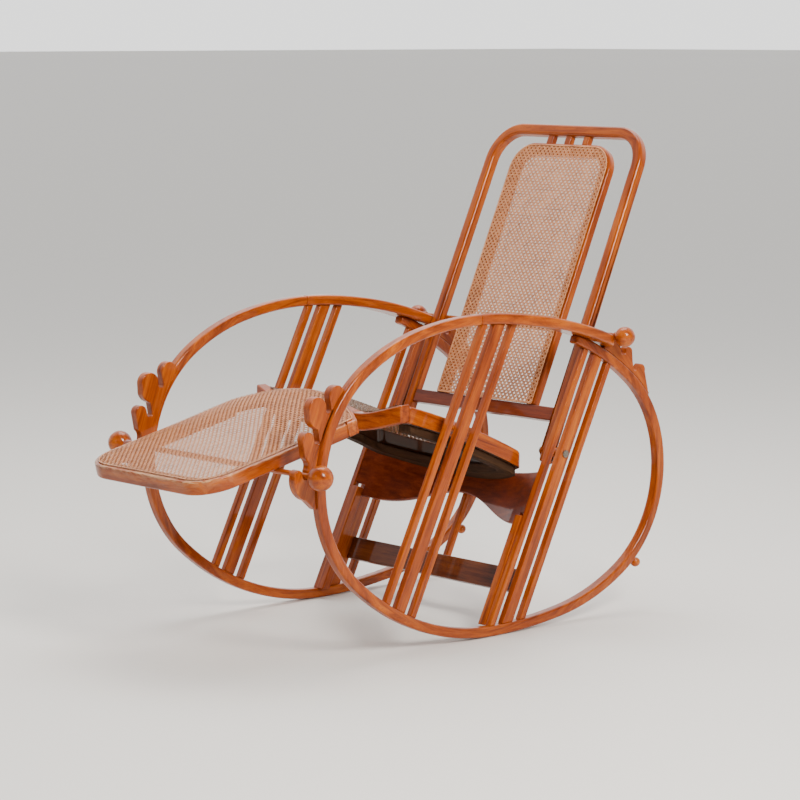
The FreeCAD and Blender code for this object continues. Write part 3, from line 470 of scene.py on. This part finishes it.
class Weave:
    """Strands laid on a surface, wherever (u, v) in millimetres is inside the outline."""

    def __init__(self, surface, inside, low, high):
        self.surface = surface
        self.inside = inside
        self.low = low
        self.high = high
        self.vertices = []
        self.faces = []
        self.grain = []
        self.count = 0

    def strand(self, samples, width):
        """One flat strand through (u, v, height) samples, as a closed strip."""
        self.count += 1
        first = len(self.vertices)
        places = [self.surface(u, v) for u, v, _ in samples]
        length = 0.0
        for i, (place, normal) in enumerate(places):
            before = places[max(i - 1, 0)][0]
            after = places[min(i + 1, len(places) - 1)][0]
            along = (after - before).normalized()
            across = along.cross(normal).normalized() * (width * MM / 2)
            middle = place + normal * (samples[i][2] * MM)
            lift = normal * (STRAND_DEPTH * MM / 2)
            self.vertices += [middle - across, middle - lift, middle + across, middle + lift]
            length += (place - before).length if i else 0.0
            for offset in (-1, 0, 1, 0):
                across_grain = self.count * STRAND_SHIFT_ACROSS + offset * STRAND_GRAIN_HALF
                self.grain.append((length + self.count * STRAND_SHIFT_ALONG, across_grain, 0.0))
        for i in range(len(places) - 1):
            a = first + 4 * i
            for j in range(4):
                k = (j + 1) % 4
                self.faces.append((a + k, a + j, a + 4 + j, a + 4 + k))
        self.faces.append(tuple(first + j for j in range(4)))
        self.faces.append(tuple(len(self.vertices) - 1 - j for j in range(4)))

    def border(self, kept, lost):
        """The last place inside the outline between a place inside it and one outside."""
        for _ in range(7):
            middle = tuple((a + b) / 2 for a, b in zip(kept, lost))
            if self.inside(middle[0], middle[1]):
                kept = middle
            else:
                lost = middle
        return kept

    def run(self, start, step, count, height):
        """Lays strands along one straight line, wherever it is inside the outline."""
        line = [(start[0] + step[0] * i, start[1] + step[1] * i, height(i)) for i in range(count + 1)]
        samples = []
        for before, here in zip(line, line[1:]):
            was, now = self.inside(*before[:2]), self.inside(*here[:2])
            if now and not was:
                samples = [self.border(here, before)]
            if now:
                samples.append(here)
            if was and not now and samples:
                samples.append(self.border(before, here))
                self.strand(samples, STRAND_WIDTH)
                samples = []

    def weave(self):
        """Lays both sets of straight strands and both sets of diagonals."""
        half = PITCH / 2
        columns = 2 * round((self.high[0] - self.low[0]) / PITCH) + 2
        rows = 2 * round((self.high[1] - self.low[1]) / PITCH) + 3
        left = (self.low[0] + self.high[0]) / 2 - columns * half / 2 + half / 2
        bottom = self.low[1] - half / 2
        for i in range(columns):
            self.run((left + i * half, bottom), (0, half), rows,
                     lambda j: CROSS_RISE if (i + j) % 2 else -CROSS_RISE)
        for j in range(rows):
            self.run((left, bottom + j * half), (half, 0), columns,
                     lambda i: -CROSS_RISE if (i + j) % 2 else CROSS_RISE)
        for k in range(-rows - rows % 2, columns + 1, 2):
            self.run((left + k * half, bottom), (half, half), rows, lambda i: DIAGONAL_RISE)
        for k in range(1, columns + rows + 1, 2):
            self.run((left + k * half, bottom), (-half, half), rows, lambda i: -DIAGONAL_RISE)

    def bind(self, outline):
        """The strip of cane that covers the strands' ends, with a stitch over it at each hole."""
        total = len(outline)
        self.strand([(u, v, BINDER_HEIGHT) for u, v in outline + outline[:2]], BINDER_WIDTH)
        for i in range(0, total, 2):
            u, v = outline[i]
            before, after = outline[i - 1], outline[(i + 1) % total]
            run = math.hypot(after[0] - before[0], after[1] - before[1])
            across = (-(after[1] - before[1]) / run, (after[0] - before[0]) / run)
            reach = BINDER_WIDTH * 0.75
            self.strand([(u - across[0] * reach, v - across[1] * reach, BINDER_HEIGHT - STITCH_DIP),
                         (u, v, BINDER_HEIGHT + STITCH_RISE),
                         (u + across[0] * reach, v + across[1] * reach, BINDER_HEIGHT - STITCH_DIP)],
                        STITCH_WIDTH)

    def piece(self, name, node, material):
        """The finished panel, which stands for a packed cane node."""
        piece = mesh_piece(name, self.vertices, self.faces)
        store = piece.data.attributes.new("grain", "FLOAT_VECTOR", "POINT")
        store.data.foreach_set("vector", [number for value in self.grain for number in value])
        finish_piece(piece, BODY_OF[node], material)
        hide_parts(node)


def outline_points(path, step):
    """Evenly spaced points round a closed outline given by its corners."""
    lengths = [math.dist(path[i - 1], path[i]) for i in range(len(path))]
    count = max(8, 2 * round(sum(lengths) / step / 2))
    spacing = sum(lengths) / count
    points = []
    wanted = 0.0
    walked = 0.0
    for i in range(len(path)):
        first, second, length = path[i - 1], path[i], lengths[i]
        while wanted < walked + length - 1e-9 and len(points) < count:
            share = (wanted - walked) / length
            points.append((first[0] + (second[0] - first[0]) * share,
                           first[1] + (second[1] - first[1]) * share))
            wanted += spacing
        walked += length
    return points


def corner_arc(centre, radius, start, end, steps=8):
    """Points on a rounded corner, from one angle to another in degrees."""
    angles = [math.radians(start + (end - start) * i / steps) for i in range(steps + 1)]
    return [(centre[0] + radius * math.cos(angle), centre[1] + radius * math.sin(angle)) for angle in angles]


def bow(u, half, ends, middle):
    """Height at u of an arc with given heights at its ends and middle, over a chord of half-width half."""
    rise = middle - ends
    radius = (half ** 2 + rise ** 2) / (2 * rise)
    return middle - radius + math.sqrt(radius ** 2 - u ** 2)


def rear_bow(reach, half, ends, middle, inset=0):
    """Points from right to left along an arc over a chord of half-width half, out to reach each side."""
    return [(u, bow(u, half, ends, middle) - inset) for u in [reach - reach * i / 8 for i in range(17)]]


def point_inside(path):
    """A test for whether (u, v) lies inside a closed outline."""
    def test(u, v):
        result = False
        for i in range(len(path)):
            (u1, v1), (u2, v2) = path[i - 1], path[i]
            if (v1 > v) != (v2 > v) and u < (u2 - u1) * (v - v1) / (v2 - v1) + u1:
                result = not result
        return result
    return test


def weave_panel(name, node, surface, outline, material):
    """A woven and bound panel on a surface, which stands for a packed cane node."""
    low = (min(u for u, _ in outline), min(v for _, v in outline))
    high = (max(u for u, _ in outline), max(v for _, v in outline))
    panel = Weave(surface, point_inside(outline), low, high)
    panel.weave()
    panel.bind(outline_points(outline, PITCH / 2))
    panel.piece(name, node, material)


# ------------------------------------------------------------ the three cane surfaces

REAR_SLATS_FOOT = 27
PIVOT_HEIGHT = 366
PIVOT = place_of(REAR_SLATS_FOOT + PIVOT_HEIGHT * math.tan(SLAT_LEAN), PIVOT_HEIGHT)
# The back's middle plane lies BACK_SHIFT behind its pivot, and its cane stands BACK_CANE_FRONT out.
BACK_SHIFT = 3.0
BACK_CANE_FRONT = 11.2
BACK_UP = Vector((0, math.sin(BACK_TILT), math.cos(BACK_TILT)))
BACK_FRONT = Vector((0, -math.cos(BACK_TILT), math.sin(BACK_TILT)))
FOOT_ORIGIN = place_of(-245, 492.4)
FOOT_BACK = Vector((0, math.cos(FOOT_SLOPE), math.sin(FOOT_SLOPE)))
FOOT_UP = Vector((0, -math.sin(FOOT_SLOPE), math.cos(FOOT_SLOPE)))


def back_point(x, up, front=0.0):
    """A point on the back, measured from its pivot: across, up the back and out of its front."""
    return PIVOT + X_AXIS * x * MM + BACK_UP * up * MM + BACK_FRONT * (front - BACK_SHIFT) * MM


def back_surface(u, v):
    """A point on the back's cane, and which way is out of it."""
    return back_point(u, v, BACK_CANE_FRONT), BACK_FRONT


def back_outline():
    """The back's cane: square at the foot and round at the top corners."""
    half, low, top, corner = 150, 97, 696, 55
    return ([(-half, low), (half, low)] + corner_arc((half - corner, top - corner), corner, 0, 90)
            + corner_arc((corner - half, top - corner), corner, 90, 180))


def smooth_step(value):
    """Eases from 0 to 1 as value goes from 0 to 1."""
    value = max(0.0, min(1.0, value))
    return value * value * (3 - 2 * value)


FOOT_CROWN = 26.0
FOOT_HALF = 207.0
FOOT_LENGTH = 470
FOOT_CORNER = 74
FOOT_INSET = 10
FOOT_CANE_LIFT = 0.9
CROWN_START = 300
CROWN_LENGTH = 205


def foot_height(u, v):
    """The footrest's cane swells towards the seat and is flat at the far end."""
    return smooth_step((v + CROWN_START) / CROWN_LENGTH) * FOOT_CROWN * (1 - (u / FOOT_HALF) ** 2)


def foot_point(x, y, up=0.0):
    """A point on the footrest, measured from its hinge: across, towards the seat and up."""
    return FOOT_ORIGIN + X_AXIS * x * MM + FOOT_BACK * y * MM + FOOT_UP * up * MM


def foot_surface(u, v):
    """A point on the footrest's cane, and which way is out of it."""
    place = foot_point(u, v, foot_height(u, v) + FOOT_CANE_LIFT)
    slope_u = (foot_height(u + 1, v) - foot_height(u - 1, v)) / 2
    slope_v = (foot_height(u, v + 1) - foot_height(u, v - 1)) / 2
    return place, (FOOT_UP - X_AXIS * slope_u - FOOT_BACK * slope_v).normalized()


def foot_outline():
    """The footrest's cane: round front corners, straight sides and a bowed rear."""
    half = FOOT_HALF - FOOT_INSET
    front = -FOOT_LENGTH + FOOT_INSET
    corner = FOOT_CORNER - FOOT_INSET
    rear = rear_bow(half, FOOT_HALF, ends=-67, middle=-4, inset=FOOT_INSET)
    return ([(-half, rear[-1][1])] + corner_arc((corner - half, front + corner), corner, 180, 270)
            + corner_arc((half - corner, front + corner), corner, 270, 360) + rear)


WAVE = [(0, 6), (50, -10), (105, -26), (170, -18), (235, 0)]
WAVE_MIDDLE = 120
SEAT_LINE = ((-250, 513), (-30, 442), (205, 331))
SEAT_HALF = 235
SEAT_INNER_HALF = 205
SEAT_CANE_HALF = 207
SEAT_CANE_DROP = 2.5
WAVE_FADE_START = 60
WAVE_FADE_LENGTH = 270


def wave(x):
    """Height of the front rail's top line at x, the same on both sides: curved in the middle."""
    x = abs(x)
    for (x1, z1), (x2, z2) in zip(WAVE, WAVE[1:]):
        if x <= x2:
            share = (x - x1) / (x2 - x1)
            if x2 < WAVE_MIDDLE:
                share = smooth_step(share)
            return z1 + (z2 - z1) * share
    return 0.0


def seat_circle():
    """Centre and radius of the arc through the seat's front, middle and rear, seen from the side."""
    (y1, z1), (y2, z2), (y3, z3) = SEAT_LINE
    a, b, c = y1 - y2, z1 - z2, (y1 ** 2 - y2 ** 2 + z1 ** 2 - z2 ** 2) / 2
    d, e, f = y1 - y3, z1 - z3, (y1 ** 2 - y3 ** 2 + z1 ** 2 - z3 ** 2) / 2
    centre = ((c * e - b * f) / (a * e - b * d), (a * f - c * d) / (a * e - b * d))
    return centre, math.dist(centre, (y1, z1))


SEAT_CENTRE, SEAT_RADIUS = seat_circle()


def seat_height(x, y):
    """The seat's cane follows the sides' arc at the rear and the front rail's wave at the front."""
    level = SEAT_CENTRE[1] + math.sqrt(SEAT_RADIUS ** 2 - (y - SEAT_CENTRE[0]) ** 2)
    fade = smooth_step((WAVE_FADE_START - y) / WAVE_FADE_LENGTH)
    return level - SEAT_CANE_DROP + fade * wave(x * SEAT_HALF / SEAT_INNER_HALF)


def seat_surface(u, v):
    """A point on the seat's cane, and which way is out of it."""
    place = place_of(v, seat_height(u, v)) + X_AXIS * u * MM
    slope_u = (seat_height(u + 1, v) - seat_height(u - 1, v)) / 2
    slope_v = (seat_height(u, v + 1) - seat_height(u, v - 1)) / 2
    return place, Vector((-slope_u, -slope_v, 1)).normalized()


def seat_outline():
    """The seat's cane: a slightly pointed front, straight sides and a bowed rear."""
    half = SEAT_CANE_HALF
    rear = rear_bow(half, half + 20, ends=105, middle=168)
    return [(-half, rear[-1][1]), (-half, -200), (0, -214), (half, -200)] + rear


# ------------------------------------------------------------ the chair's parts

LEAN_UP = (0, math.sin(SLAT_LEAN), math.cos(SLAT_LEAN))


def build_side_frames():
    seed = 0
    for side in ("left", "right"):
        seed += 1
        soften(f"ring_{side}", BEECH, 5.0, ring_grain(seed))
        soften(f"arm_{side}", BEECH, 5.0, straight_grain((0, 1, -0.15), seed + 20))
        soften(f"post_{side}", BEECH, 2.2, straight_grain(LEAN_UP, seed + 40))
        soften(f"front_ratchet_{side}", BEECH, 2.6, straight_grain((0, 0.35, 1), seed + 50))
        soften(f"rear_ratchet_{side}", BEECH, 2.6, straight_grain((0, 0.8, -1), seed + 60))
        for end in ("front", "rear"):
            for number in (1, 2, 3):
                seed += 1
                soften(f"{end}_slat_{side}_{number}", BEECH, 2.0, straight_grain(LEAN_UP, seed))


def build_cross_pieces():
    soften("lower_stretcher", BROWN, 2.5, straight_grain(X_AXIS, 71))
    soften("seat_apron", DARK, 2.5, straight_grain(X_AXIS, 72))
    soften("centre_strut", BEECH, 2.0, straight_grain((0, 0.42, 0.9), 73))


def painted_underside_shade(face):
    """Painted shade: the seat's faces that look down or inwards are darkened, where shade falls under and
    inside the seat.
    """
    inward = Vector((-face.center.x, place_of(-30, 0).y - face.center.y, 0)).normalized()
    return 1.0 if face.normal.z < -0.5 or face.normal.dot(inward) > 0.6 else 0.0


def build_seat():
    front, rear, bowed = place_of(-190, 480), place_of(110, 360), place_of(180, 330)
    side = X_AXIS * 0.22
    seat_line = [front - side, rear - side, bowed, rear + side, front + side]
    # Painted shade on the seat frame's downward and inward faces.
    soften("seat_frame", BEECH, 5.0, path_grain(seat_line, 74), painted_shade=painted_underside_shade)
    soften("seat_under_frame", RAW, 1.5, path_grain(seat_line, 75))
    soften("seat_front_rail", BEECH, 4.0, straight_grain(X_AXIS, 76), segments=4)


def both_sides(half_line, point):
    """A centre line up one side and down the other, from the corners of its right half."""
    left = [point(-x, y) for x, y in half_line]
    right = [point(x, y) for x, y in reversed(half_line)]
    return left + right


def build_back():
    hoop_line = both_sides([(237, -26), (231, 640), (205, 715), (140, 736)], back_point)
    panel_line = both_sides([(143, 96), (143, 630), (120, 675), (80, 690)], back_point)
    soften("back_hoop", BEECH, 6.5, path_grain(hoop_line, 81), segments=4)
    soften("back_panel_frame", BEECH, 4.0, path_grain(panel_line, 82))
    soften("back_bottom_rail", DARK, 3.0, straight_grain(X_AXIS, 83))
    soften("back_pegs", BEECH, 1.5, straight_grain(BACK_UP, 84))


RUBBED_DEPTH = 1.5
RUBBED_BAND = 3.0
HEEL_START = 400


def foot_wear(p):
    """Pale where heels have rubbed the footrest's top outer edge, most of all at the far end."""
    depth = (p - FOOT_ORIGIN).dot(FOOT_BACK)
    height = (p - FOOT_ORIGIN).dot(FOOT_UP)
    edge = max(0.0, 1 - abs(height + RUBBED_DEPTH * MM) / (RUBBED_BAND * MM))
    return edge * (0.9 if depth < -HEEL_START * MM else 0.35)


def build_footrest():
    foot_line = both_sides([(193, -60), (193, -396), (170, -442), (130, -456)], foot_point)
    soften("footrest_frame", BEECH, 4.0, path_grain(foot_line, 91), wear=foot_wear)
    soften("footrest_rear_rail", BEECH, 3.5, straight_grain(X_AXIS, 92), wear=foot_wear)


def build_cane():
    weave_panel("back_weave", "back_cane", back_surface, back_outline(), CANE)
    weave_panel("footrest_weave", "footrest_cane", foot_surface, foot_outline(), CANE)
    # The seat's cane takes the darker painted-shade copy of the cane material.
    weave_panel("seat_weave", "seat_cane", seat_surface, seat_outline(), SHADED_SEAT_CANE)


NECK = 6.2
KNOB_GAP = 9


def build_rod(rod, ball_radius, seed):
    """A rod that is slightly thinner at its ends, with a turned knob on each."""
    low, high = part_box(rod)
    middle = (low + high) / 2
    half = (high[0] - low[0]) / 2 / MM
    spindle = [(-half, 5.2), (-half + 30, 5.9), (-80, 6.0), (0, 6.0)]
    spindle += [(-along, radius) for along, radius in reversed(spindle[:-1])]
    bar = turned_piece(f"{rod}_turned", spindle, middle, X_AXIS, rod, seed)
    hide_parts(rod)
    for sign, side in ((-1, "left"), (1, "right")):
        centre = middle + X_AXIS * sign * (half + KNOB_GAP) * MM
        knob = turned_piece(f"{rod}_knob_{side}", ball_profile(ball_radius, NECK), centre, X_AXIS * sign,
                            rod, seed + sign)
    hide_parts(f"{rod}_balls")


STOPPER_PROFILE = [(-16, 5), (-9, 5), (-7, 7.5), (-5, 9.5), (-2, 10.8),
                   (2, 10.8), (6, 9), (9, 5.5), (10.6, 1)]
STOPPER_RADIUS = 11
STOPPER_LEAN = math.radians(42)


def build_stopper(side, sign):
    """A turned knob that stands out of a ring's lower rear."""
    low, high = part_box(f"stopper_peg_{side}")
    outward = Vector((0, math.sin(STOPPER_LEAN), -math.cos(STOPPER_LEAN)))
    place = Vector(((low[0] + high[0]) / 2, high[1] - STOPPER_RADIUS * MM, low[2] + STOPPER_RADIUS * MM))
    knob = turned_piece(f"stopper_{side}", STOPPER_PROFILE, place, outward, "frame", 99 + sign)
    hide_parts(f"stopper_peg_{side}")


STEEL_NODES = ("seat_screws", "seat_hinge_leaf", "footrest_hinge_pin", "footrest_hinge_leaf", "pivot_bolts")
SPACER_NODES = ("seat_spacers", "pivot_spacers")


def build_fittings():
    """The screws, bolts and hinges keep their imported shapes; the wooden spacers are softened."""
    for node in STEEL_NODES:
        item = frame["nodes"][node]
        item.data.materials.clear()
        item.data.materials.append(AGED_STEEL)
    for node in SPACER_NODES:
        soften(node, BEECH, 1.0, straight_grain(X_AXIS, 31))


# ------------------------------------------------------------ build

add_camera()
set_world()
add_floor()
add_light("key", (3.6, -0.9, 3.0), (0, 0, 0.5), (1.2, 1.7), 260, (1.0, 0.96, 0.90))
add_light("front_fill", (0.6, -5.2, 2.6), (0, 0, 0.5), (1.2, 1.6), 12, (0.95, 0.97, 1.0))
add_light("top", (-0.8, 0.8, 3.8), (0, 0, 0.4), (2.4, 2.4), 120, (1.0, 0.98, 0.95))

BEECH = wood("amber_beech", (0.54, 0.132, 0.004), (0.37, 0.068, 0.002), (0.15, 0.022, 0.001))
DARK = wood("dark_red_beech", (0.28, 0.052, 0.010), (0.19, 0.030, 0.006), (0.09, 0.014, 0.003),
            roughness=0.32)
BROWN = wood("brown_beech", (0.20, 0.050, 0.005), (0.13, 0.029, 0.003), (0.06, 0.012, 0.001))
RAW = wood("raw_beech", (0.085, 0.045, 0.022), (0.055, 0.028, 0.014), (0.026, 0.013, 0.008),
           coat=0.0, roughness=0.75)
CANE = cane_material("cane", (0.84, 0.40, 0.18), (0.64, 0.255, 0.095), (0.30, 0.09, 0.025))
# Painted shade: a much darker copy of the cane colours for the seat, whose cane is seen from below in
# shadow.
SHADED_SEAT_CANE = cane_material("painted_shade_cane", (0.30, 0.16, 0.08), (0.20, 0.10, 0.045), (0.10, 0.045, 0.02))
AGED_STEEL = steel("aged_steel", (0.30, 0.26, 0.22), 0.45)

build_side_frames()
build_cross_pieces()
build_seat()
build_back()
build_footrest()
build_cane()
build_rod("rear_rod", 22.0, 95)
build_rod("front_rod", 25.5, 97)
build_stopper("left", -1)
build_stopper("right", 1)
build_fittings()
